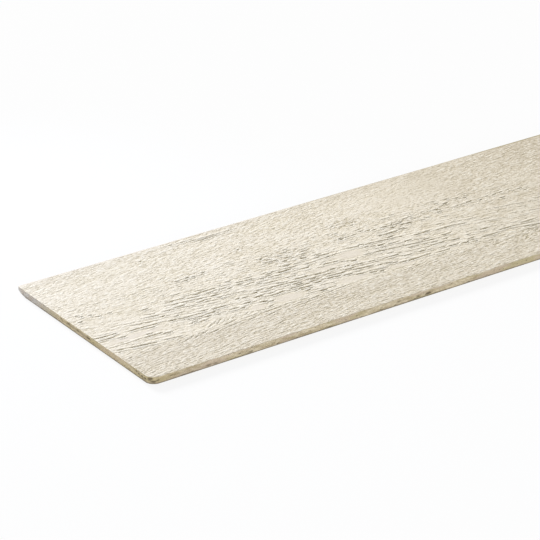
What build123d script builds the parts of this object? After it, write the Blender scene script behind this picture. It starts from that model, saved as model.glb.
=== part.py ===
"""Soffit panel: one long pressed-strand wood board that closes the underside of a roof overhang.

The board lies on its back with its show face up. X runs along the length, Y across the width
and Z through the thickness. The origin is the middle of the back face.
"""

import os

from build123d import *

# Driving dimensions, in millimetres
LENGTH = 4873.6  # a 16 foot board, trimmed by an eighth of an inch
WIDTH = 303.2  # a 12 inch board, trimmed by a sixteenth of an inch
THICKNESS = 9.5  # three eighths of an inch
CORNER_RADIUS = 3.0  # three corners of the outline, as cut and lightly handled
DUBBED_CORNER_RADIUS = 12.0  # the fourth corner, at -X and -Y, knocked blunt
FACE_EASING = 0.8  # rounding of the show face's rim, where the saw cut is sanded lightly
BACK_EASING = 0.6  # rounding of the sawn rim round the back

# The board: its outline, extruded to the pressed thickness, with both rims eased
with BuildPart() as soffit_panel:
    with BuildSketch(Plane.XY):
        Rectangle(LENGTH, WIDTH)
        dubbed_corner = vertices().group_by(Axis.X)[0].sort_by(Axis.Y)[0]
        cut_corners = vertices() - ShapeList([dubbed_corner])
        fillet(cut_corners, radius=CORNER_RADIUS)
        dubbed_corner = vertices().group_by(Axis.X)[0].sort_by(Axis.Y)[0]
        fillet(dubbed_corner, radius=DUBBED_CORNER_RADIUS)
    extrude(amount=THICKNESS)
    show_face = faces().sort_by(Axis.Z)[-1]
    fillet(show_face.edges(), radius=FACE_EASING)
    back_face = faces().sort_by(Axis.Z)[0]
    fillet(back_face.edges(), radius=BACK_EASING)
soffit_panel.part.label = "soffit_panel"

os.makedirs("parts", exist_ok=True)
export_step(soffit_panel.part, "parts/soffit_panel.step")
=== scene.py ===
"""Soffit panel: one long strand-wood board whose primed face is pressed with a cedar grain.

Lengths are in metres, or in millimetres where a comment says so. The frame is that of the packed
board: X along the length, Y across the width and Z up through the thickness, with the show face on top.
"""

import math
import random

import bmesh
import bpy
import numpy as np
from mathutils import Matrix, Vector


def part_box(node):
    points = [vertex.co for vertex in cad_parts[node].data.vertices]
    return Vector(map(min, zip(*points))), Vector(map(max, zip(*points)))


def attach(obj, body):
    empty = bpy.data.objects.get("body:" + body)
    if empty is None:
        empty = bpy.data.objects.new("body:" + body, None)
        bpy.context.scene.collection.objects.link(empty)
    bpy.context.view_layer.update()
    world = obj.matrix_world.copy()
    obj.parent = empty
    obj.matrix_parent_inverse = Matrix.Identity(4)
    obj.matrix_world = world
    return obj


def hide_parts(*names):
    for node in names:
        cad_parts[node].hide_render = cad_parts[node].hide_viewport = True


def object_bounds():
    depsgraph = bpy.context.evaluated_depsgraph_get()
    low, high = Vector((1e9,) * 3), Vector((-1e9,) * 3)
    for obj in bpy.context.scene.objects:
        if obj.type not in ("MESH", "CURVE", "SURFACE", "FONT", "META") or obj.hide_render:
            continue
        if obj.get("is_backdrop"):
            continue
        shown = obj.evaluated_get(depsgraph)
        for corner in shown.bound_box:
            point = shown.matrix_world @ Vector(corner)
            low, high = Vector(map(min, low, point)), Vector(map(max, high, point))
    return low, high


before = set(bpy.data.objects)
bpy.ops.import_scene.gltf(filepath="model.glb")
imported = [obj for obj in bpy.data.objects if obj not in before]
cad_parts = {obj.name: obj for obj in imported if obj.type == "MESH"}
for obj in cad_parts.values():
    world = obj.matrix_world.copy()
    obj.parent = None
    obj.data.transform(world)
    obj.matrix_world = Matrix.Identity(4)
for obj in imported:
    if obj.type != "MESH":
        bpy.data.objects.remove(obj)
cad_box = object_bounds()

# The board is wood strands pressed with resin into one flat sheet and sawn to length and width.
# Its sawn rims are only just eased. Later one corner was knocked blunt, and the foot of another
# was broken away.
MM = 0.001
BOARD_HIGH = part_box("soffit_panel")[1]
HALF_LENGTH = BOARD_HIGH.x
HALF_WIDTH = BOARD_HIGH.y
THICKNESS = BOARD_HIGH.z
FACE_EASING = 0.8 * MM
BACK_EASING = 0.6 * MM
SAWN_CORNER = 3 * MM
BLUNT_CORNER = 12 * MM
NEAR_STRETCH = 720 * MM  # the stretch from the -X end that is seen closely
GRAIN_FOOT = -98 * MM  # Y of the foot and the top of the deep grain
GRAIN_TOP = 14 * MM
TICKS_TOP = 58 * MM  # Y of the top of the short ticks above it
LINES_FOOT = 126 * MM  # Y of the foot of the fine lines by the +Y edge
CORNER_ROW = 1.4 * MM  # largest steps of the mesh along the board
NEAR_ROW = 2.8 * MM
FAR_ROW = 60 * MM
FINE_COLUMN = 4.4 * MM  # and across it
GRAIN_COLUMN = 3 * MM
TICK_COLUMN = 4.8 * MM
BROAD_COLUMN = 12 * MM
STEP_SLACK = 0.01  # share of a step that rounding may add
NEAR_SPLIT = 4  # columns of the near stretch in each column of the far one
RIM_STEPS = 3
WALL_STEPS = 6
BACK_RIM_STEPS = 2
CHIP_DEPTH = 3 * MM  # how far the foot of the corner at -X and +Y is broken back
CHIP_REACH = 20 * MM
CHIP_HEIGHT = 4.5 * MM


def ruled(*stretches):
    """Lines over stretches that follow each other, each given by its start, end and largest step."""
    lines = []
    for start, end, step in stretches:
        count = math.ceil((end - start) / step - STEP_SLACK)
        lines.extend(np.linspace(start, end, count, endpoint=False))
    return np.array(lines + [end])


def corner_radius(point):
    """The outline's radius at the corner nearest to a point."""
    return BLUNT_CORNER if point.x < 0 and point.y < 0 else SAWN_CORNER


def past_corner_centre(point):
    """How far a point lies beyond the centre of its corner's arc, along the length and the width."""
    radius = corner_radius(point)
    return abs(point.x) - (HALF_LENGTH - radius), abs(point.y) - (HALF_WIDTH - radius)


def outward(point):
    """The level direction that faces out of the outline at a point of the rim."""
    along, across = past_corner_centre(point)
    side_x, side_y = math.copysign(1, point.x), math.copysign(1, point.y)
    if along > 0 and across > 0:
        return Vector((side_x * along, side_y * across, 0)).normalized()
    if HALF_LENGTH - abs(point.x) < HALF_WIDTH - abs(point.y):
        return Vector((side_x, 0, 0))
    return Vector((0, side_y, 0))


def round_corner(point):
    """Moves a point of the square grid to its place in the face with rounded corners."""
    along, across = past_corner_centre(point)
    radius = corner_radius(point) - FACE_EASING
    if along <= 0 or across <= 0:
        return
    a, b = along / radius, across / radius
    point.x -= math.copysign(along * (1 - math.sqrt(1 - b * b / 2)), point.x)
    point.y -= math.copysign(across * (1 - math.sqrt(1 - a * a / 2)), point.y)


face_end, face_side = HALF_LENGTH - FACE_EASING, HALF_WIDTH - FACE_EASING
rows = ruled(
    (-face_end, BLUNT_CORNER - HALF_LENGTH, CORNER_ROW),
    (BLUNT_CORNER - HALF_LENGTH, NEAR_STRETCH - HALF_LENGTH, NEAR_ROW),
    (NEAR_STRETCH - HALF_LENGTH, HALF_LENGTH - SAWN_CORNER, FAR_ROW),
    (HALF_LENGTH - SAWN_CORNER, face_end, BACK_EASING),
)
columns = ruled(
    (-face_side, SAWN_CORNER - HALF_WIDTH, BACK_EASING),
    (SAWN_CORNER - HALF_WIDTH, GRAIN_FOOT, FINE_COLUMN),
    (GRAIN_FOOT, GRAIN_TOP, GRAIN_COLUMN),
    (GRAIN_TOP, TICKS_TOP, TICK_COLUMN),
    (TICKS_TOP, LINES_FOOT, BROAD_COLUMN),
    (LINES_FOOT, HALF_WIDTH - SAWN_CORNER, FINE_COLUMN),
    (HALF_WIDTH - SAWN_CORNER, face_side, BACK_EASING),
)

board = bmesh.new()
bmesh.ops.create_grid(board, x_segments=len(rows) - 1, y_segments=len(columns) - 1, size=1)
for vert in board.verts:
    row = round((vert.co.x + 1) / 2 * (len(rows) - 1))
    column = round((vert.co.y + 1) / 2 * (len(columns) - 1))
    vert.co = (rows[row], columns[column], THICKNESS)
near_end = NEAR_STRETCH - HALF_LENGTH - NEAR_ROW / 2
finely_cut = [
    edge for edge in board.edges
    if max(v.co.x for v in edge.verts) < near_end
    and abs(edge.verts[0].co.y - edge.verts[1].co.y) > 2 * BACK_EASING
]
bmesh.ops.subdivide_edges(board, edges=finely_cut, cuts=NEAR_SPLIT - 1, use_grid_fill=True)
for vert in board.verts:
    round_corner(vert.co)

# Each ring of the rim, from the face down to the back, as its distance out and its height
rim_turns = [math.pi / 2 * (step + 1) / RIM_STEPS for step in range(RIM_STEPS)]
back_turns = [math.pi / 2 * (step + 1) / BACK_RIM_STEPS for step in range(BACK_RIM_STEPS)]
wall_top, wall_foot = THICKNESS - FACE_EASING, BACK_EASING
rings = [(FACE_EASING * math.sin(t), wall_top + FACE_EASING * math.cos(t)) for t in rim_turns]
rings += [
    (FACE_EASING, wall_top + (wall_foot - wall_top) * (step + 1) / WALL_STEPS)
    for step in range(WALL_STEPS)
]
rings += [
    (FACE_EASING - BACK_EASING * (1 - math.cos(t)), wall_foot * (1 - math.sin(t)))
    for t in back_turns
]

EDGE_SLOT, BACK_SLOT = 1, 2  # material slots; the face has the first one, 0
rim_edges = [edge for edge in board.edges if edge.is_boundary]
reach = 0
for ring, (out, height) in enumerate(rings):
    ring_geometry = bmesh.ops.extrude_edge_only(board, edges=rim_edges)["geom"]
    for item in ring_geometry:
        if isinstance(item, bmesh.types.BMVert):
            item.co += outward(item.co) * (out - reach)
            item.co.z = height
        if isinstance(item, bmesh.types.BMFace) and ring >= RIM_STEPS - 1:
            item.material_index = EDGE_SLOT
    ring_edges = [item for item in ring_geometry if isinstance(item, bmesh.types.BMEdge)]
    rim_edges = [edge for edge in ring_edges if edge.is_boundary]
    reach = out
for vert in board.verts:
    from_end = (vert.co.x + HALF_LENGTH) / (2 * CHIP_DEPTH)
    from_side = (HALF_WIDTH - vert.co.y) / CHIP_REACH
    upward = vert.co.z / CHIP_HEIGHT
    if max(from_end, from_side, upward) < 1:
        vert.co.x += CHIP_DEPTH * (1 - from_end) * (1 - from_side) * (1 - upward)
for face in board.faces:
    face.smooth = True
back = bmesh.ops.contextual_create(board, geom=rim_edges)["faces"]
back_faces = bmesh.ops.triangulate(board, faces=back)["faces"]
for face in back_faces:
    face.material_index = BACK_SLOT
    face.smooth = False
bmesh.ops.recalc_face_normals(board, faces=board.faces)

# The grain is pressed into the face by an embossed plate: dashed cuts that run with the length
# and bend round smooth islands, in one band, with short ticks and a fine tooth either side of it.
# Its lengths are in millimetres, along from the -X end and across from the +Y edge.
DEEP_CUTS = (  # along, across, length and drop of each deep cut
    (97, 175, 7, 0), (145, 190, 11, 1), (159, 194, 21, 1.5), (144, 201, 16, 0.5), (140, 206.5, 10, 1),
    (121, 164, 20, 0.5), (177, 164, 12, 0.5), (188, 212, 8, 1.5), (182, 171, 8, 1), (200, 203, 9, 1),
    (198, 188, 7, 1), (207, 190, 9, 1), (218, 197, 16, 0), (227, 186, 5, 0), (218, 212, 10, 2),
    (226, 216.5, 10, 2), (264, 181, 17, 4), (282, 195, 12, 0.5), (284, 156.5, 21, 0.5),
    (304, 206, 11, 1), (323, 207, 9, 0.5), (335, 208, 9, 0.5), (345, 210.5, 17, 1),
    (361, 217.5, 16, 2.5), (378, 223, 11, 2.5), (390, 227, 6, 2), (296, 229, 12, 0.5),
    (313, 164, 14, 1), (347, 169, 9, 2), (379, 183, 11, 1), (357, 198, 17, 0.5), (395, 197, 13, 0.5),
    (415, 149, 10, 1.5), (418, 159, 8, 1), (428, 162, 7, 1), (435, 165, 14, 0.5), (448, 169, 21, 0.5),
    (471, 174, 13, 1), (493, 166, 28, 1), (525, 171, 36, 1), (416, 200, 28, 1), (462, 193, 10, 0.5),
    (486, 196, 11, 0.5), (518, 197, 8, 0.5), (523, 187, 18, 1), (492, 204, 23, 1), (519, 207, 18, 1.5),
    (409, 214, 12, 1), (428, 221.5, 11, 0.5), (439, 222.5, 40, 0), (483, 225, 24, 1), (508, 219, 17, 2),
    (529, 221, 11, 1), (542, 226, 10, 0.5), (561, 221, 26, 1.5), (549, 205, 9, 0.5),
    (455, 142.5, 33, 0), (180, 101, 8, 1), (574, 203, 15, 0.5), (287, 113, 7, -3), (293, 118, 9, 1),
    (318, 126, 9, 2), (306, 133, 9, 1), (331, 138, 10, 2), (408, 118, 7, 2), (483, 131, 8, 1),
)
PLAIN_CUTS = (  # the same for the plain cuts
    (0, 180, 36, 1), (0, 188, 25, 0.5), (42, 186, 46, 1), (23, 194, 14, 1), (50, 210.5, 27, 1.5),
    (74, 215, 16, 1), (56, 205, 12, 1), (64, 192, 15, 0.5), (97, 191, 12, 1.5), (108, 194, 38, 1.5),
    (116, 200, 16, 2), (119, 209, 9, 1), (132, 213, 7, 1), (162, 208, 9, 1.5), (110, 184, 8, 0.5),
    (123, 156, 13, 0.5), (127, 148, 25, 0.5), (88, 147, 10, 0), (152, 168, 13, 1), (159, 161, 11, 0.5),
    (177, 154, 12, 0.5), (169, 147, 29, 0.5), (194, 155, 6, 1), (205, 158, 10, 1), (220, 155, 11, 1.5),
    (236, 151, 14, 1), (236, 161, 11, 0.5), (252, 158, 13, 2), (269, 151, 10, 1), (299, 145, 11, 0),
    (315, 147, 10, 0.5), (344, 148, 12, 0.5), (323, 156, 51, -1.5), (243, 168, 10, 2),
    (253, 172, 10, 2), (284, 174, 16, 1), (235, 205, 29, -2), (268, 203, 24, 0), (273, 191, 6, 0.5),
    (269, 211, 10, -1), (282, 220, 10, -2), (310, 228.5, 15, -0.5), (221, 228, 7, -1), (340, 167, 5, 2),
    (361, 172, 6, 2), (367, 175, 8, 3), (461, 153, 11, -1), (537, 157, 12, 0.5), (560, 173, 15, 3.5),
    (430, 191, 13, 1), (472, 194, 10, 0.5), (497, 197, 12, 1), (492, 185, 14, -0.5), (398, 211, 9, 1),
    (418, 217, 11, 1.5), (492, 215.5, 17, 0.5), (444, 209, 13, 1), (469, 210, 9, 0.5),
    (542, 216, 14, 1), (413, 118, 8, 3), (488, 125, 20, 1), (498, 131, 20, 1), (555, 118, 20, 1),
    (283, 121, 14, 5), (590, 218, 38, 1), (632, 217, 30, 0.5), (165, 103, 7, 1), (188, 104, 7, 1),
    (205, 101, 8, 1), (174, 108, 9, 0.5), (300, 124, 8, 2), (311, 117, 8, 1), (324, 131, 9, 1),
    (322, 112, 8, 0.5), (340, 128, 8, 1), (297, 108, 8, 1), (401, 100, 6, 1), (417, 112, 7, 1),
    (423, 82, 6, 1), (438, 80, 8, 1), (449, 87, 8, 1), (443, 94, 8, 1), (459, 134, 8, 1),
    (453, 141, 9, 0.5), (477, 123, 8, 1), (468, 128, 8, 1), (502, 123, 8, 0.5), (511, 131, 8, 0.5),
    (514, 118, 9, 0.5), (528, 126, 9, 0.5), (540, 133, 10, 0.5), (492, 144, 9, 0), (578, 104, 8, 0),
    (566, 121, 10, 0), (588, 110, 10, 0), (598, 101, 9, 0), (616, 124, 12, 0.5), (646, 124, 10, 0.5),
    (658, 126, 11, 0), (664, 139, 10, 0), (672, 125, 9, 0), (684, 124, 9, -0.5), (700, 129, 10, 0.5),
    (704, 137, 9, 0), (711, 133, 8, 0.5), (612, 106, 9, 0), (622, 111, 8, 0), (634, 128, 8, 0.5),
    (690, 131, 8, 0), (160, 28, 6, 0.5), (196, 47, 6, -1), (280, 70, 9, 4), (356, 45, 5, 0.5),
    (151, 87, 6, 0.5), (17, 119, 6, 2), (26, 121, 7, 2), (34, 130, 7, 2), (50, 130, 6, 1),
    (7, 131, 8, 2), (12, 114, 6, 1), (404, 121, 9, 1), (450, 120, 9, 1), (472, 122, 8, 2),
    (463, 135, 12, 1), (488, 140, 12, 0), (560, 128, 14, 1), (177, 147, 22, 0.5), (232, 183, 12, 1),
    (245, 187, 9, 0.5), (262, 186.5, 11, 0.5), (298, 185, 13, 0.5), (318, 189, 18, 0.5),
    (342, 187.5, 11, 0.5), (299, 194, 18, 0.5), (326, 195, 13, 0.5), (362, 190, 11, 0.5),
    (282, 199, 12, 0), (240, 198, 11, 0.5), (300, 201, 15, 0.5), (345, 202, 12, 0.5), (185, 159, 8, 1),
    (213, 141, 10, 0.5),
)
FINE_CUTS = (  # and for the fine ones
    (0, 210, 54, 0.5), (586, 126, 40, -1), (118, 246.5, 24, -5), (139, 246.5, 12, -2),
    (145, 238, 26, -5), (149, 243, 22, -1), (174, 244.5, 24, -4), (175, 238, 24, -3),
    (198, 239, 46, -4.5), (205, 246, 22, -4), (231, 241.5, 14, -1), (254, 241, 11, -0.5),
    (268, 241, 24, -2.5), (293, 238, 19, -1), (311, 236.5, 32, -1), (360, 240, 15, -0.5),
    (209, 10, 50, 0), (240, 14, 80, 1), (250, 19, 40, 0), (84, 247, 12, -7), (91, 246, 13, -8),
    (98, 247, 14, -8), (106, 245, 13, -7), (114, 243, 12, -6), (126, 233, 13, -8), (134, 231, 13, -9),
    (141, 231, 14, -10), (148, 232, 15, -12), (156, 231, 14, -11), (164, 230, 13, -9),
    (172, 229, 12, -8), (180, 231, 12, -6),
)
ISLANDS = (  # along, across, half length and half width of each smooth island
    (391, 166, 22, 12), (208, 222, 14, 6), (254, 222, 26, 10), (352, 226, 28, 7), (430, 228, 26, 3.5),
    (340, 180, 26, 4), (48, 200, 46, 6),
)
QUIET_STRETCHES = (  # the same for each stretch that has only the tooth
    (30, 138, 95, 34), (150, 224, 70, 9), (48, 200, 60, 22),
)
ROUGH_PATCHES = (  # and for each torn patch
    (186, 103, 34, 9), (318, 122, 40, 22), (408, 118, 12, 14), (440, 84, 30, 10), (500, 127, 34, 12),
    (575, 120, 40, 10), (625, 128, 40, 10), (335, 194, 60, 9), (600, 246, 70, 18), (283, 72, 16, 7),
)
DEEP_SECTION = (2.2, 0.85)  # breadth and depth of each kind of cut
PLAIN_SECTION = (1.8, 0.7)
FINE_SECTION = (1.8, 0.46)
FILL_SECTION = (2.35, 0.73)
TICK_SECTION = (1.7, 0.54)
LOWER_SECTION = (1.5, 0.4)
FULL_CUT = 0.64  # the depth that counts as a full cut
STEEP_WALL, LONG_WALL = 0.6, 1.5  # shares of half the breadth on a cut's two sides
END_POWER = 6  # how bluntly a cut ends
RAGGED_LENGTH = 11
RAGGED_LEAST, RAGGED_GAIN = 0.75, 0.5  # shares of a cut's breadth that its ragged sides leave
WOBBLE, WOBBLE_LENGTH = 1.6, 26
DOT_LENGTH = 5.5  # the dots that a cut is pressed in
DOT_RISE = (0.2, 0.6)
DOT_STEP = 3  # sets the dots of neighbouring cuts apart
MAIN_EVENNESS, FILL_EVENNESS = 0.6, 0.45  # shares of a cut's depth between its dots
LIP_HEIGHT, LIP_HALF_BREADTH = 0.34, 1.6  # the raised lip beside a cut
LIP_CLEARS, CUT_CLEARS = 1.5, 4  # how soon a lip stops the fill lines, and a cut the lips
BAND = (145, 232)  # the band of deep cuts, across
TICKS = (95, 145)  # the short ticks above it
LOWER = (234, 300)  # the fine lines below it
BAND_SLOPE = 0.15  # how far a line moves across for each step along
TICK_SLOPE = 0.08
CORNER_SLOPE = -0.22
LOWER_SLOPE = -0.07
NEAR_BOARD = (0, NEAR_STRETCH / MM)
SHORT_DASHES = (0, 380)  # where along the board the band's dashes are short
LONG_DASHES = (380, NEAR_BOARD[1])  # and where they are long
CORNER_LINES = (0, 150)  # where the fine lines climb from the blunt corner
LOWER_LINES = (150, NEAR_BOARD[1])
FILL_ROWS = (  # zone, slope, stretch, spacing, shortest and longest dash, then gap, and section
    (BAND, BAND_SLOPE, SHORT_DASHES, 6.4, (12, 60), (2, 7), FILL_SECTION),
    (BAND, BAND_SLOPE, LONG_DASHES, 8.8, (50, 160), (2, 6), FILL_SECTION),
    (TICKS, TICK_SLOPE, NEAR_BOARD, 5.5, (6, 20), (5, 18), TICK_SECTION),
    (LOWER, CORNER_SLOPE, CORNER_LINES, 4.2, (4, 13), (3, 8), LOWER_SECTION),
    (LOWER, LOWER_SLOPE, LOWER_LINES, 4.2, (4, 13), (3, 8), LOWER_SECTION),
)
WANDERS = ((9, 300, -2.6), (5, 117, 0))  # reach, length and start of the waves that the grain follows
DASH_STRAY = 0.9  # how far a dash strays from its row
DASH_TILT = 0.5
DASH_STRENGTH = (0.43, 0.87)
CLUMP = (38, 13)  # length and breadth of the clumps in which the dashes are stronger
CLUMP_LEAST, CLUMP_GAIN = 0.65, 0.6
TOOTH_DEPTH = 0.12
TOOTH = (6.5, 2.7)  # length and breadth of the tooth's bumps
FINE_TOOTH = (3.1, 1.6)
FINE_TOOTH_SHARE = 0.35
OVAL_RIM, OVAL_CORE = 1.4, 0.35  # squared shares of an oval's reach where it fades out and is full
LATTICE = 256
CLUMP_SHIFT, WOBBLE_SHIFT, DOT_SHIFT, TOOTH_SHIFT = 20, 40, 80, 50  # keep the random waves apart
HAIR = 0.01 * MM  # in metres, less than any step of the mesh
drawn = random.Random(16)
lattice = np.random.default_rng(12).random((LATTICE, LATTICE))


def ramp(value, start, end):
    """Smooth step from 0 at start to 1 at end."""
    t = np.clip((value - start) / (end - start), 0, 1)
    return t * t * (3 - 2 * t)


def waves(x, y):
    """Smooth random waves between 0 and 1, about one to each unit of x and y."""
    left, low_y = np.floor(x).astype(int), np.floor(y).astype(int)
    across_x, across_y = ramp(x - left, 0, 1), ramp(y - low_y, 0, 1)
    left, low_y = left % LATTICE, low_y % LATTICE
    right, high_y = (left + 1) % LATTICE, (low_y + 1) % LATTICE
    bottom = lattice[left, low_y] * (1 - across_x) + lattice[right, low_y] * across_x
    top = lattice[left, high_y] * (1 - across_x) + lattice[right, high_y] * across_x
    return bottom * (1 - across_y) + top * across_y


def inside(along, across, ovals):
    """1 at the middle of the ovals, falling smoothly to 0 at their rims."""
    best = np.zeros_like(along)
    for centre_along, centre_across, half_length, half_width in ovals:
        square = ((along - centre_along) / half_length) ** 2 + ((across - centre_across) / half_width) ** 2
        best = np.maximum(best, ramp(square, OVAL_RIM, OVAL_CORE))
    return best


def drift(along):
    """How far the grain has wandered across the board at a place along it."""
    return sum(reach * math.sin(along / length + start) for reach, length, start in WANDERS)


def grain_row(across, zone, slope, stretch, dash, gap, section):
    """One sloping dashed line of cuts over a stretch of the board, where it lies inside its zone."""
    start, end = stretch
    breadth, depth = section
    along = start + drawn.uniform(0, gap[1])
    while along < end:
        length = drawn.uniform(*dash)
        stray = drawn.uniform(-DASH_STRAY, DASH_STRAY)
        begin = across + slope * (along - start) + drift(along) + stray
        clump = float(waves(np.array(along / CLUMP[0]), np.array(begin / CLUMP[1] + CLUMP_SHIFT)))
        strength = drawn.uniform(*DASH_STRENGTH) * (CLUMP_LEAST + CLUMP_GAIN * clump)
        tilt = drawn.uniform(-DASH_TILT, DASH_TILT)
        drop = slope * length + tilt + drift(along + length) - drift(along)
        if zone[0] < begin < zone[1]:
            yield (along, begin, length, drop, breadth * strength, depth * strength)
        along += length + drawn.uniform(*gap)


def sloping_rows(zone, slope, stretch, spacing, dash, gap, section):
    """Sloping dashed lines that fill a zone over a stretch of the board."""
    rise = slope * (stretch[1] - stretch[0])
    for across in np.arange(zone[0] - max(rise, 0), zone[1] - min(rise, 0), spacing):
        yield from grain_row(across, zone, slope, stretch, dash, gap, section)


cuts = [(*cut, *DEEP_SECTION) for cut in DEEP_CUTS]
cuts += [(*cut, *PLAIN_SECTION) for cut in PLAIN_CUTS]
cuts += [(*cut, *FINE_SECTION) for cut in FINE_CUTS]
fill_cuts = [cut for row in FILL_ROWS for cut in sloping_rows(*row)]

groove_layer = board.verts.layers.float.new("groove")
coarse_layer = board.verts.layers.float.new("coarse")
painted_shade_layer = board.verts.layers.float.new("painted_shade")
lip_layer = board.verts.layers.float.new("lip")
relief_verts = [v for v in board.verts if v.co.z > wall_top + HAIR]
relief_verts.sort(key=lambda v: v.co.x)
place = np.array([v.co for v in relief_verts])
along_mm = (place[:, 0] + HALF_LENGTH) / MM
across_mm = (HALF_WIDTH - place[:, 1]) / MM
smoothness = inside(along_mm, across_mm, ISLANDS)


def pressed(strokes, evenness):
    """The depth that the strokes leave at each point of the face, and the lips beside them."""
    depth_mm, lip = np.zeros(len(place)), np.zeros(len(place))
    for along, across, length, drop, breadth, depth in strokes:
        first, last = np.searchsorted(along_mm, (along, along + length))
        x, d = along_mm[first:last], across_mm[first:last]
        t = (x - along) / length
        ragged = RAGGED_LEAST + RAGGED_GAIN * waves(x / RAGGED_LENGTH, np.full_like(x, across))
        wander = waves(x / WOBBLE_LENGTH, np.full_like(x, across + WOBBLE_SHIFT))
        off = d - across - drop * t - WOBBLE * (wander - 0.5)
        wall = breadth / 2 * ragged * np.where(off < 0, STEEP_WALL, LONG_WALL)
        dots = ramp(waves(x / DOT_LENGTH, np.full_like(x, DOT_STEP * across + DOT_SHIFT)), *DOT_RISE)
        taper = np.clip(1 - np.abs(2 * t - 1) ** END_POWER, 0, 1) * (evenness + (1 - evenness) * dots)
        section = np.clip(1 - (off / wall) ** 2, 0, 1) * taper
        ridge = np.clip(1 - ((np.abs(off) - wall) / LIP_HALF_BREADTH - 1) ** 2, 0, 1) * taper
        depth_mm[first:last] = np.maximum(depth_mm[first:last], depth * section)
        lip[first:last] = np.maximum(lip[first:last], depth / FULL_CUT * ridge)
    return depth_mm, lip


# The tooth covers the face between the cuts, finer in some zones and coarser where it is torn
END_FINER, TOP_FINER, TOP_END_FINER, BAND_FINER = 0.1, 0.09, 0.07, 0.05
WORN_FINER, ISLAND_FINER, RIM_FINER, ROUGH_COARSER = 0.3, 0.75, 0.85, 0.4
broad_tooth = waves(along_mm / TOOTH[0], across_mm / TOOTH[1])
fine_tooth = waves(along_mm / FINE_TOOTH[0] + TOOTH_SHIFT, across_mm / FINE_TOOTH[1])
tooth = broad_tooth * (1 - FINE_TOOTH_SHARE) + fine_tooth * FINE_TOOTH_SHARE
roughness = inside(along_mm, across_mm, ROUGH_PATCHES)
above_ticks = ramp(across_mm, TICKS[0] + 20, TICKS[0] - 10)
among_cuts = ramp(across_mm, TICKS[1] - 10, TICKS[1] + 10) * ramp(across_mm, BAND[1] + 8, BAND[1] - 4)
worn_patch = ramp(along_mm, 420, 540) * ramp(along_mm, 680, 620) * ramp(across_mm, 105, 70)
far_rim = ramp(across_mm, 4.8, 1.6)
coarse = 1 - END_FINER * ramp(along_mm, 260, 80)
coarse *= 1 - (TOP_FINER + TOP_END_FINER * ramp(along_mm, 300, 160)) * above_ticks
coarse *= 1 - BAND_FINER * among_cuts
coarse += ROUGH_COARSER * roughness
coarse *= 1 - WORN_FINER * worn_patch
coarse *= 1 - ISLAND_FINER * smoothness
coarse *= 1 - RIM_FINER * far_rim

# Painted shade: the coat is drawn darker over the fine lines, on torn patches, by the +Y rim and away from
# the -X end, where the light falls off
LOWER_SHADE_SHARE, FAR_TOP_SHADE_SHARE, FAR_SHADE_SHARE, ROUGH_SHADE_SHARE, STRIP_SHADE_SHARE = 0.77, 0.95, 0.52, 0.5, 0.27
NEAR_EDGE_LESS_SHADE = 0.25
lower_zone = ramp(across_mm, LOWER[0] - 2, LOWER[0] + 12)
lower_zone *= 1 - NEAR_EDGE_LESS_SHADE * ramp(across_mm, 262, 285)
far_top = ramp(along_mm, 600, 800) * ramp(along_mm, 1400, 900) * ramp(across_mm, 120, 60)
painted_shade = np.maximum.reduce([
    LOWER_SHADE_SHARE * lower_zone,
    FAR_TOP_SHADE_SHARE * far_top,
    FAR_SHADE_SHARE * ramp(along_mm, 500, 680),
    ROUGH_SHADE_SHARE * roughness,
    STRIP_SHADE_SHARE * ramp(across_mm, 28, 12),
])

# The plate presses the whole near stretch a little below the lips of its cuts
quiet = np.maximum(smoothness, inside(along_mm, across_mm, QUIET_STRETCHES))
main_depth, main_lip = pressed(cuts, MAIN_EVENNESS)
fill_depth, fill_lip = pressed(fill_cuts, FILL_EVENNESS)
fill_share = (1 - quiet) * (1 - np.clip(LIP_CLEARS * main_lip, 0, 1))
groove = np.maximum(main_depth, fill_depth * fill_share)
lip = np.clip(np.maximum(main_lip, fill_lip * (1 - quiet)), 0, 1)
lip *= np.clip(1 - CUT_CLEARS * groove, 0, 1)
ground = LIP_HEIGHT * ramp(along_mm, NEAR_BOARD[1], NEAR_BOARD[1] - 80)
lowered = groove + (TOOTH_DEPTH * coarse * tooth + ground) * (1 - lip)

# Painted shade darkens the cuts, and away from the -X end the +Y rim is drawn darker too
RIM_DARKENING, FAR_RIM_DARKENING = 0.5, 0.3
rim_darkening = (RIM_DARKENING + FAR_RIM_DARKENING * ramp(along_mm, 700, 800)) * far_rim * ramp(along_mm, 300, 470)
darkened = np.maximum(groove / FULL_CUT, rim_darkening)
rounding = ramp(place[:, 2], wall_top, THICKNESS)
lowered *= rounding

for vert, down, cut, rough, shaded, raised in zip(relief_verts, lowered, darkened, coarse, painted_shade, lip):
    vert.co.z -= float(down) * MM
    vert[groove_layer] = float(cut)
    vert[coarse_layer] = float(rough)
    vert[painted_shade_layer] = float(shaded)
    vert[lip_layer] = float(raised)

# The saw leaves the edges a little ragged, with strands torn out here and there and most of all
# at the blunt corner. Places are in millimetres along the -Y edge or across the -X end.
TORN_ALONG = (  # along, height, half length and strength of each torn spot
    (80, 2.8, 7, 0.7), (90, 2.6, 6, 0.6), (139.5, 3, 6, 0.7), (256, 1.5, 7, 0.6), (362, 5, 6, 0.6),
    (392, 3.5, 5, 0.7), (408, 3.5, 6, 1.5), (2.5, 7, 3, 1.0), (5, 3, 4, 1.0), (10, 4.5, 3, 0.9),
)
TORN_ACROSS = (  # across, height, half length and strength of each torn spot
    (104, 6, 6, 0.6), (121, 6, 6, 0.8), (142, 5.5, 6, 0.8), (166, 5, 7, 1.0), (272, 6, 3, 1.0),
    (277, 5, 3, 0.9), (283.5, 4.6, 3, 1.0), (290, 4.5, 3, 1.0), (297, 5.5, 3.5, 1.0), (12, 4, 4, 0.6),
    (142, 5.5, 46, 0.5), (236, 5, 40, 0.24), (288, 4.5, 24, 0.45),
)
TORN_HEIGHT = 1.8  # half the height of a torn spot
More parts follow.
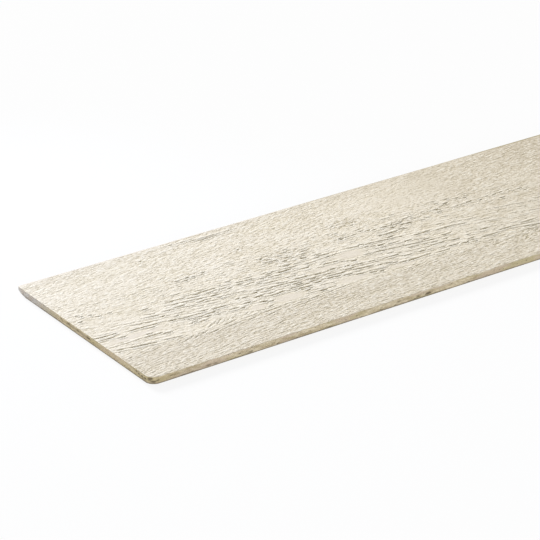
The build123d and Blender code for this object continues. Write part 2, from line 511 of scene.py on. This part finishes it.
TORN_DEPTH = 0.9
SAW_DEPTH = 0.25
SAW_MARK = (3.3, 1.7)  # length and height of the saw's marks
SAW_SHIFT = 90
EDGE_FACING = 0.3  # how squarely a point has to face out of an edge to belong to it

torn_layer = board.verts.layers.float.new("torn")
wall_verts = [v for v in board.verts if wall_foot - HAIR < v.co.z < wall_top + HAIR]
for vert in wall_verts:
    facing = outward(vert.co)
    along = (vert.co.x + HALF_LENGTH) / MM
    across = (HALF_WIDTH - vert.co.y) / MM
    height = vert.co.z / MM
    spots = [(along, *spot) for spot in TORN_ALONG] if facing.y < -EDGE_FACING else []
    spots += [(across, *spot) for spot in TORN_ACROSS] if facing.x < -EDGE_FACING else []
    torn = 0.0
    for place_mm, centre, level, half_length, strength in spots:
        square = ((place_mm - centre) / half_length) ** 2 + ((height - level) / TORN_HEIGHT) ** 2
        torn = max(torn, strength * (1 - square))
    vert[torn_layer] = torn
    saw_along, saw_up = (along + across) / SAW_MARK[0], height / SAW_MARK[1] + SAW_SHIFT
    saw_mark = float(waves(np.array(saw_along), np.array(saw_up)))
    vert.co -= facing * (SAW_DEPTH * saw_mark + TORN_DEPTH * torn) * MM

# The primer is one thin, dull coat of warm cream paint over the face and its rim.
# Painted shade draws it darker over the finest grain and away from the shown end, in the cuts and
# in the pits of its tooth, and the +Y rim is darker; painted highlight lightens its crests and lips.
PRIMER = (0.862, 0.78, 0.634, 1)
PRIMER_SHADE = (0.815, 0.73, 0.569, 1)
PRIMER_HIGHLIGHT = (0.99, 0.935, 0.812, 1)
PRIMER_SMOOTH = (0.835, 0.75, 0.645, 1)
PRIMER_PAINTED_SHADE = (0.665, 0.585, 0.45, 1)
CUT_SHADE = (0.325, 0.265, 0.125, 1)
UPPER_SLOPE = -0.15  # of the streaks above the band
BEAD = (5.2, 3.1, 5.2)  # sizes of the beads and streaks of the tooth, in millimetres
STREAK = (16, 3.3, 16)
FINE_STREAK = (16, 2.1, 16)
MOTTLE = (70, 34, 70)
FAR_DASH = (60, 4.5, 60)
UPPER_STREAK_SHARE = 0.38  # shares of streaks among the beads
BAND_STREAK_SHARE = 0.5
LOWER_STREAK_SHARE = 0.42
STREAKS_CHANGE = (GRAIN_FOOT + 16 * MM, GRAIN_FOOT + 8 * MM)  # Y where the finer streaks begin
FAR_FADE = 40 * MM  # over which the far dashes take over from the pressed cuts
TOOTH_STRENGTH = 0.85
HIGHLIGHT_SHARE, PIT_SHADE_SHARE, CUT_SHADE_SHARE = 0.9, 0.5, 0.9  # shares of the colours of crests, pits and cuts
CREST_RISE = 0.7  # the height of a crest beside the depth of a pit
TOOTH_RELIEF = 0.45 * MM
PRIMER_ROUGHNESS = 0.62
PRIMER_SHEEN = 0.25


def add_node(tree, kind, inputs=None, **settings):
    """Adds a shader node, sets what is given and links the inputs that are sockets."""
    made = tree.nodes.new(kind)
    for name, value in settings.items():
        setattr(made, name, value)
    for name, value in (inputs or {}).items():
        if isinstance(value, bpy.types.NodeSocket):
            tree.links.new(value, made.inputs[name])
        else:
            made.inputs[name].default_value = value
    return made


def stretched(tree, wavelengths, turn=0.0):
    """Object coordinates counted in wavelengths, given in millimetres along the turned X, Y and Z."""
    where = add_node(tree, "ShaderNodeTexCoord").outputs["Object"]
    sizes = [length * MM for length in wavelengths]
    inputs = {"Vector": where, "Scale": sizes, "Rotation": (0, 0, turn)}
    return add_node(tree, "ShaderNodeMapping", inputs, vector_type="TEXTURE").outputs["Vector"]


def noise(tree, wavelengths, detail=2.0, turn=0.0):
    """Random waves of the given wavelengths, from 0 to 1."""
    where = stretched(tree, wavelengths, turn)
    inputs = {"Vector": where, "Scale": 1.0, "Detail": detail}
    return add_node(tree, "ShaderNodeTexNoise", inputs).outputs["Fac"]


def mapped_range(tree, value, low_in, high_in, low_out=0.0, high_out=1.0):
    """Maps a value from one range to another, and keeps it there."""
    inputs = {"Value": value, "From Min": low_in, "From Max": high_in}
    inputs.update({"To Min": low_out, "To Max": high_out})
    return add_node(tree, "ShaderNodeMapRange", inputs, clamp=True).outputs["Result"]


def times(tree, first, second):
    """The product of two values."""
    return add_node(tree, "ShaderNodeMath", {0: first, 1: second}, operation="MULTIPLY").outputs[0]


def plus(tree, first, second):
    """The sum of two values."""
    return add_node(tree, "ShaderNodeMath", {0: first, 1: second}, operation="ADD").outputs[0]


def larger(tree, first, second):
    """The larger of two values."""
    return add_node(tree, "ShaderNodeMath", {0: first, 1: second}, operation="MAXIMUM").outputs[0]


def between(tree, share, first, second):
    """A value between two values."""
    return add_node(tree, "ShaderNodeMix", {0: share, 2: first, 3: second}, data_type="FLOAT").outputs[0]


def blended(tree, factor, first, second):
    """A colour between two colours."""
    return add_node(tree, "ShaderNodeMix", {0: factor, 6: first, 7: second}, data_type="RGBA").outputs[2]


def place_in(tree):
    """The place of each point of the surface, as X, Y and Z."""
    where = add_node(tree, "ShaderNodeTexCoord").outputs["Object"]
    return add_node(tree, "ShaderNodeSeparateXYZ", {"Vector": where}).outputs


def new_group(name, values, results):
    """A shader node group with number inputs and the named outputs."""
    tree = bpy.data.node_groups.new(name, "ShaderNodeTree")
    for label in values:
        tree.interface.new_socket(label, in_out="INPUT", socket_type="NodeSocketFloat")
    for label, kind in results.items():
        tree.interface.new_socket(label, in_out="OUTPUT", socket_type=kind)
    return tree, tree.nodes.new("NodeGroupInput").outputs, tree.nodes.new("NodeGroupOutput").inputs


def new_material(name):
    """An empty material, its node tree and its shader."""
    made = bpy.data.materials.new(name)
    made.use_nodes = True
    return made, made.node_tree, made.node_tree.nodes["Principled BSDF"]


def set_surface(tree, shader, colour, height, relief, roughness, sheen):
    """Gives a shader its colour, its fine relief and its sheen."""
    bump = add_node(tree, "ShaderNodeBump", {"Height": height, "Strength": 1.0, "Distance": relief})
    tree.links.new(colour, shader.inputs["Base Color"])
    tree.links.new(bump.outputs["Normal"], shader.inputs["Normal"])
    shader.inputs["Roughness"].default_value = roughness
    shader.inputs["Specular IOR Level"].default_value = sheen


coat_tree, coat_in, coat_out = new_group(
    "primer_coat",
    ["Cut", "Tooth", "Painted Shade", "Lip"],
    {"Color": "NodeSocketColor", "Height": "NodeSocketFloat"},
)
mottle = mapped_range(coat_tree, noise(coat_tree, MOTTLE, 3.0), 0.3, 0.7)
full_coat = blended(coat_tree, mottle, PRIMER, PRIMER_SHADE)
# Painted shade: the coat is drawn darker by the Painted Shade share
shaded_coat = blended(coat_tree, coat_in["Painted Shade"], full_coat, PRIMER_PAINTED_SHADE)
smooth_share = mapped_range(coat_tree, coat_in["Tooth"], 0.35, 0.1)
plain_coat = blended(coat_tree, smooth_share, shaded_coat, PRIMER_SMOOTH)
coat_place = place_in(coat_tree)
in_band = mapped_range(coat_tree, coat_place["Y"], TICKS_TOP, GRAIN_TOP)
below_band = mapped_range(coat_tree, coat_place["Y"], *STREAKS_CHANGE)
upper_turn, band_turn, lower_turn = (-math.atan(s) for s in (UPPER_SLOPE, BAND_SLOPE, LOWER_SLOPE))
tilted_streaks = noise(coat_tree, STREAK, 1.0, upper_turn)
band_streaks = noise(coat_tree, STREAK, 1.0, band_turn)
lower_streaks = noise(coat_tree, FINE_STREAK, 1.0, lower_turn)
upper_streaks = between(coat_tree, in_band, tilted_streaks, band_streaks)
streaks = between(coat_tree, below_band, upper_streaks, lower_streaks)
beads = noise(coat_tree, BEAD, 1.0, upper_turn)
upper_share = between(coat_tree, in_band, UPPER_STREAK_SHARE, BAND_STREAK_SHARE)
streak_share = between(coat_tree, below_band, upper_share, LOWER_STREAK_SHARE)
grainy = between(coat_tree, streak_share, beads, streaks)
high_grain = mapped_range(coat_tree, grainy, 0.51, 0.66, 0.0, TOOTH_STRENGTH)
low_grain = mapped_range(coat_tree, grainy, 0.49, 0.36, 0.0, TOOTH_STRENGTH)
# Painted highlight on the crests of the tooth and the lips beside the cuts, and painted shade in its pits;
# the same crests and pits also give the bump
crests = larger(coat_tree, times(coat_tree, high_grain, coat_in["Tooth"]), coat_in["Lip"])
pits = times(coat_tree, low_grain, coat_in["Tooth"])
highlit_coat = blended(coat_tree, times(coat_tree, crests, HIGHLIGHT_SHARE), plain_coat, PRIMER_HIGHLIGHT)
pit_shaded_coat = blended(coat_tree, times(coat_tree, pits, PIT_SHADE_SHARE), highlit_coat, CUT_SHADE)
# Past the near stretch the band's cuts are only painted: dark dashes of painted shade with a shallow bump
past_near = mapped_range(coat_tree, coat_place["X"], near_end - FAR_FADE, near_end)
only_band = plus(coat_tree, in_band, times(coat_tree, below_band, -1.0))
far_dashes = mapped_range(coat_tree, noise(coat_tree, FAR_DASH, 1.0), 0.55, 0.7, 0.0, 0.7)
far_cuts = times(coat_tree, times(coat_tree, past_near, only_band), far_dashes)
all_cuts = plus(coat_tree, coat_in["Cut"], far_cuts)
# Painted shade fills the cuts; the Cut input also carries the darker +Y rim
cores = mapped_range(coat_tree, all_cuts, 0.3, 0.7)
cut_shaded_coat = blended(coat_tree, times(coat_tree, cores, CUT_SHADE_SHARE), pit_shaded_coat, CUT_SHADE)
tooth_height = plus(coat_tree, times(coat_tree, crests, CREST_RISE), times(coat_tree, pits, -1.0))
coat_height = plus(coat_tree, tooth_height, times(coat_tree, cores, -1.0))
coat_tree.links.new(cut_shaded_coat, coat_out["Color"])
coat_tree.links.new(coat_height, coat_out["Height"])

face_material, face_tree, face_shader = new_material("primed_face")
face_coat = add_node(face_tree, "ShaderNodeGroup", node_tree=coat_tree)
for socket, layer in (("Cut", "groove"), ("Tooth", "coarse"), ("Painted Shade", "painted_shade"), ("Lip", "lip")):
    share = add_node(face_tree, "ShaderNodeAttribute", attribute_name=layer).outputs["Fac"]
    face_tree.links.new(share, face_coat.inputs[socket])
face_colour, face_height = face_coat.outputs["Color"], face_coat.outputs["Height"]
set_surface(face_tree, face_shader, face_colour, face_height, TOOTH_RELIEF, PRIMER_ROUGHNESS, PRIMER_SHEEN)

# The sawn edges show the board's inside: thin strands lying flat on each other, sealed with a
# tan wash, with small dark gaps between them and a little primer run over from the face.
STRAND_PALE = (0.83, 0.73, 0.535, 1)
STRAND_DARK = (0.53, 0.44, 0.285, 1)
STRAND_OLIVE = (0.58, 0.51, 0.30, 1)
STRAND_ROSE = (0.68, 0.56, 0.44, 1)
GAP_SHADE = (0.15, 0.115, 0.07, 1)
FOOT_SHADE = (0.24, 0.20, 0.15, 1)
WEATHERED = (0.60, 0.57, 0.535, 1)
WEATHERED_ROSE = (0.59, 0.52, 0.455, 1)
END_STRAND = (0.595, 0.485, 0.26, 1)  # the darker cut ends of the strands at the shown end
LAYER = (42, 42, 3.4)  # sizes of the strands' patterns, in millimetres
FIBRE = (10, 10, 2.4)
PATCH = (60, 60, 5)
GAP = (6, 6, 1.6)
SPECK = (6, 6, 3.4)
ROSE_PATCH = (34, 34, 6)
WEATHERED_SPECK = (9, 9, 5)
FOOT_WAVE = (20, 20, 40)
DRIP = (12, 12, 30)
RUN = (85, 85, 85)
FIBRE_SHARE, SPECK_SHARE = 0.4, 0.35
GAP_DEPTH = 1.5  # beside the height of the strands
EDGE_GAPS = 0.8  # shares of gaps and tooth that the sawn edges have
EDGE_TOOTH = 0.3
SHOWN_END = (40 * MM - HALF_LENGTH, 20 * MM - HALF_LENGTH)  # X where the shown end's tone comes in
FAR_CORNER = (50 * MM, 110 * MM)  # Y where the weathering comes in along that end
END_SHARE = 0.4
TORN_SHARE = 0.85
WEATHERED_SHARE = 0.85
FOOT_SHARE = 0.8
PRIMER_SHARE = 0.85
FOOT_FADE = (3.2 * MM, 1.9 * MM)  # heights between which the dark foot comes in
FOOT_WAVE_HEIGHT = 2 * MM
DRIP_HEIGHT = 0.9 * MM
RUN_HEIGHT = 2.2 * MM
PRIMER_LINE = (THICKNESS - 0.1 * MM, THICKNESS + 0.7 * MM)  # heights, with drips and runs added
STRAND_RELIEF = 0.3 * MM
EDGE_ROUGHNESS = 0.8
EDGE_SHEEN = 0.2

strand_tree, strand_in, strand_out = new_group(
    "sawn_strands", ["Gaps"], {"Color": "NodeSocketColor", "Height": "NodeSocketFloat"}
)
layers = times(strand_tree, noise(strand_tree, LAYER, 1.0), 1 - FIBRE_SHARE)
fibres = times(strand_tree, noise(strand_tree, FIBRE, 1.0), FIBRE_SHARE)
specks = noise(strand_tree, SPECK, 1.0)
strand_mix = between(strand_tree, SPECK_SHARE, plus(strand_tree, layers, fibres), specks)
tone = mapped_range(strand_tree, strand_mix, 0.40, 0.60)
rose = mapped_range(strand_tree, noise(strand_tree, ROSE_PATCH, 1.0), 0.5, 0.62, 0.0, 0.65)
olive = mapped_range(strand_tree, noise(strand_tree, PATCH, 1.0), 0.5, 0.62, 0.0, 0.7)
gap_mask = mapped_range(strand_tree, noise(strand_tree, GAP, 1.0), 0.67, 0.74)
gaps = times(strand_tree, gap_mask, strand_in["Gaps"])
two_tone = blended(strand_tree, tone, STRAND_DARK, STRAND_PALE)
three_tone = blended(strand_tree, olive, two_tone, STRAND_OLIVE)
four_tone = blended(strand_tree, rose, three_tone, STRAND_ROSE)
strand_height = plus(strand_tree, tone, times(strand_tree, gaps, -GAP_DEPTH))
strand_tree.links.new(blended(strand_tree, gaps, four_tone, GAP_SHADE), strand_out["Color"])
strand_tree.links.new(strand_height, strand_out["Height"])

edge_material, edge_tree, edge_shader = new_material("sawn_edge")
edge_strands = add_node(edge_tree, "ShaderNodeGroup", {"Gaps": EDGE_GAPS}, node_tree=strand_tree).outputs
edge_coat = add_node(edge_tree, "ShaderNodeGroup", {"Tooth": EDGE_TOOTH}, node_tree=coat_tree).outputs
edge_place = place_in(edge_tree)
torn_place = add_node(edge_tree, "ShaderNodeAttribute", attribute_name="torn").outputs["Fac"]
torn_share = mapped_range(edge_tree, torn_place, 0.15, 0.75, 0.0, TORN_SHARE)
at_shown_end = mapped_range(edge_tree, edge_place["X"], *SHOWN_END)
end_share = times(edge_tree, at_shown_end, END_SHARE)
end_colour = blended(edge_tree, end_share, edge_strands["Color"], END_STRAND)
torn_colour = blended(edge_tree, torn_share, end_colour, GAP_SHADE)
to_far_corner = mapped_range(edge_tree, edge_place["Y"], *FAR_CORNER, 0.0, WEATHERED_SHARE)
weathered_share = times(edge_tree, at_shown_end, to_far_corner)
weathered_specks = mapped_range(edge_tree, noise(edge_tree, WEATHERED_SPECK, 1.0), 0.45, 0.6)
weathered_tone = blended(edge_tree, weathered_specks, WEATHERED, WEATHERED_ROSE)
weathered_colour = blended(edge_tree, weathered_share, torn_colour, weathered_tone)
# Painted shade: a dark line along the foot of each edge, where it meets the floor
foot_waves = times(edge_tree, noise(edge_tree, FOOT_WAVE, 1.0), FOOT_WAVE_HEIGHT)
foot_place = plus(edge_tree, edge_place["Z"], foot_waves)
foot_share = mapped_range(edge_tree, foot_place, *FOOT_FADE, 0.0, FOOT_SHARE)
footed_colour = blended(edge_tree, foot_share, weathered_colour, FOOT_SHADE)
drips = times(edge_tree, noise(edge_tree, DRIP, 2.0), DRIP_HEIGHT)
runs = mapped_range(edge_tree, noise(edge_tree, RUN, 1.0), 0.5, 0.72, 0.0, RUN_HEIGHT)
run_over = plus(edge_tree, edge_place["Z"], plus(edge_tree, drips, runs))
primer_share = mapped_range(edge_tree, run_over, *PRIMER_LINE, 0.0, PRIMER_SHARE)
edge_colour = blended(edge_tree, primer_share, footed_colour, edge_coat["Color"])
edge_height = edge_strands["Height"]
set_surface(edge_tree, edge_shader, edge_colour, edge_height, STRAND_RELIEF, EDGE_ROUGHNESS, EDGE_SHEEN)

# The back is the bare underside of the board: broad flat flakes of wood, laid mostly along the
# length in layers, pressed smooth and sealed with the same tan wash.
FLAKE = (95, 15, 15)  # length and breadth of a flake, in millimetres
FLAKE_FIBRE = (40, 1.8, 1.8)
FLAKE_TURNS = (0.0, 0.45, -0.35, 0.12)  # how each layer is turned, the lowest first
FLAKE_PALE = (0.66, 0.52, 0.34, 1)
FLAKE_DARK = (0.40, 0.28, 0.16, 1)
FLAKE_RIM = (0.22, 0.15, 0.09, 1)
FIBRE_TONE = 0.45  # share of the fibres in a flake's tone
LAID_PAST = (0.45, 0.47)  # a flake whose chance is past these is there
RIM_REACH = 0.03  # share of a flake that its dark rim takes
RIM_SHARE = 0.6
FLAKE_RELIEF = 0.25 * MM
BACK_ROUGHNESS = 0.75
BACK_SHEEN = 0.5

back_material, back_tree, back_shader = new_material("strand_back")
back_colour, back_height = FLAKE_DARK, 0.0
for turn in FLAKE_TURNS:
    flake_where = stretched(back_tree, FLAKE, turn)
    flake_inputs = {"Vector": flake_where, "Scale": 1.0}
    flakes = add_node(back_tree, "ShaderNodeTexVoronoi", flake_inputs, voronoi_dimensions="2D")
    borders = add_node(
        back_tree, "ShaderNodeTexVoronoi", flake_inputs, voronoi_dimensions="2D", feature="DISTANCE_TO_EDGE"
    )
    chances = add_node(back_tree, "ShaderNodeSeparateColor", {"Color": flakes.outputs["Color"]}).outputs
    fibre_tone = mapped_range(back_tree, noise(back_tree, FLAKE_FIBRE, 2.0, turn), 0.35, 0.65)
    flake_tone = between(back_tree, FIBRE_TONE, chances["Red"], fibre_tone)
    flake_colour = blended(back_tree, flake_tone, FLAKE_PALE, FLAKE_DARK)
    rim = mapped_range(back_tree, borders.outputs["Distance"], RIM_REACH, 0.0, 0.0, RIM_SHARE)
    rimmed_colour = blended(back_tree, rim, flake_colour, FLAKE_RIM)
    laid = mapped_range(back_tree, chances["Green"], *LAID_PAST) if turn else 1.0
    back_colour = blended(back_tree, laid, back_colour, rimmed_colour)
    flake_height = plus(back_tree, chances["Blue"], times(back_tree, rim, -RIM_SHARE))
    back_height = between(back_tree, laid, back_height, flake_height)
set_surface(back_tree, back_shader, back_colour, back_height, FLAKE_RELIEF, BACK_ROUGHNESS, BACK_SHEEN)


def placed(name, data):
    """An object with the given data, put in the scene."""
    made = bpy.data.objects.new(name, data)
    bpy.context.scene.collection.objects.link(made)
    return made


def mesh_object(name, shape, *materials):
    """A finished bmesh as an object in the scene, with its materials."""
    mesh = bpy.data.meshes.new(name)
    shape.to_mesh(mesh)
    shape.free()
    for material in materials:
        mesh.materials.append(material)
    return placed(name, mesh)


panel = mesh_object("soffit_panel_dressed", board, face_material, edge_material, back_material)
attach(panel, "root")
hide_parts("soffit_panel")

# The floor is a plain white sheet that runs out of sight on every side.
# It keeps a faint shadow of the board.
FLOOR_REACH = 60
FLOOR_WHITE = (0.96, 0.96, 0.96, 1)
FLOOR_ROUGHNESS = 0.9
PURE_WHITE = (1, 1, 1, 1)
GLOW_SHARE = 0.85  # share of a plain white glow in what the camera sees of the floor


def seen_directly(tree):
    """1 for a ray from the camera, also one that is mirrored or let through, and 0 for the others."""
    path = add_node(tree, "ShaderNodeLightPath").outputs
    seen_or_mirrored = plus(tree, path["Is Camera Ray"], path["Is Glossy Ray"])
    return plus(tree, seen_or_mirrored, path["Is Transmission Ray"])


floor_material, floor_tree, floor_shader = new_material("white_floor")
floor_shader.inputs["Base Color"].default_value = FLOOR_WHITE
floor_shader.inputs["Roughness"].default_value = FLOOR_ROUGHNESS
floor_glow = add_node(floor_tree, "ShaderNodeEmission", {"Color": PURE_WHITE, "Strength": 1.0})
glow_share = mapped_range(floor_tree, seen_directly(floor_tree), 0.0, 1.0, 0.0, GLOW_SHARE)
floor_mix = add_node(
    floor_tree, "ShaderNodeMixShader",
    {0: glow_share, 1: floor_shader.outputs[0], 2: floor_glow.outputs[0]},
)
floor_tree.links.new(floor_mix.outputs[0], floor_tree.nodes["Material Output"].inputs["Surface"])

floor_grid = bmesh.new()
bmesh.ops.create_grid(floor_grid, x_segments=1, y_segments=1, size=FLOOR_REACH)
floor = mesh_object("floor", floor_grid, floor_material)
floor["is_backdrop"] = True

# The light is a plain bright room, with a broad low lamp behind the board that rakes across the
# grain, a faint one in front for the near edge, and a small cool one behind the shown end.
ROOM_LIGHT = 0.43
RAKE_LIGHT = 3.6
FRONT_LIGHT = 0.9
RAKE_FROM = (0.12, 0.93, 0.34)
FRONT_FROM = (-0.35, -0.92, 0.2)
LAMP_ANGLE = math.radians(12)
END_LIGHT = 0.7
END_LIGHT_COLOUR = (0.50, 0.64, 1.0)
END_LAMP_SIZE = 0.5
END_LAMP_SPREAD = math.radians(110)
END_LAMP_OFFSET = Vector((0.08, 0.62, 0.4))  # from the top of the shown end's middle
world = bpy.data.worlds.new("white_room")
world.use_nodes = True
bpy.context.scene.world = world
world_tree = world.node_tree
room = world_tree.nodes["Background"]
room.inputs["Color"].default_value = PURE_WHITE
room_strength = mapped_range(world_tree, seen_directly(world_tree), 0.0, 1.0, ROOM_LIGHT, 1.0)
world_tree.links.new(room_strength, room.inputs["Strength"])

for lamp_name, strength, shines_from in (
    ("raking_lamp", RAKE_LIGHT, RAKE_FROM),
    ("front_lamp", FRONT_LIGHT, FRONT_FROM),
):
    sun = bpy.data.lights.new(lamp_name, "SUN")
    sun.energy = strength
    sun.angle = LAMP_ANGLE
    lamp = placed(lamp_name, sun)
    lamp.rotation_euler = Vector(shines_from).to_track_quat("Z", "Y").to_euler()

end_light = bpy.data.lights.new("end_lamp", "AREA")
end_light.energy = END_LIGHT
end_light.color = END_LIGHT_COLOUR
end_light.size = END_LAMP_SIZE
end_light.spread = END_LAMP_SPREAD
end_lamp = placed("end_lamp", end_light)
end_lamp.location = Vector((-HALF_LENGTH, 0, THICKNESS)) + END_LAMP_OFFSET
end_lamp.rotation_euler = END_LAMP_OFFSET.to_track_quat("Z", "Y").to_euler()

# The camera stands off the blunt corner with a long lens.
# Its place and its aim are fitted to the straight borders of the board in the photograph.
CAMERA_AZIMUTH = math.radians(-35.551)
CAMERA_ELEVATION = math.radians(25.268)
CAMERA_DISTANCE = 3.03178
CAMERA_LENS = 160
AIM = Vector((-HALF_LENGTH + 0.292425, 0.023147, 0))
back_to_camera = Vector((
    math.sin(CAMERA_AZIMUTH) * math.cos(CAMERA_ELEVATION),
    -math.cos(CAMERA_AZIMUTH) * math.cos(CAMERA_ELEVATION),
    math.sin(CAMERA_ELEVATION),
))
lens = bpy.data.cameras.new("camera")
lens.lens = CAMERA_LENS
camera = placed("camera", lens)
camera.location = AIM + back_to_camera * CAMERA_DISTANCE
camera.rotation_euler = (-back_to_camera).to_track_quat("-Z", "Y").to_euler()
bpy.context.scene.camera = camera
bpy.context.scene.view_settings.view_transform = "Standard"

bpy.context.view_layer.update()
boxes = {"cad": cad_box, "visual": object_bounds()}
{name: [list(corner) for corner in box] for name, box in boxes.items()}
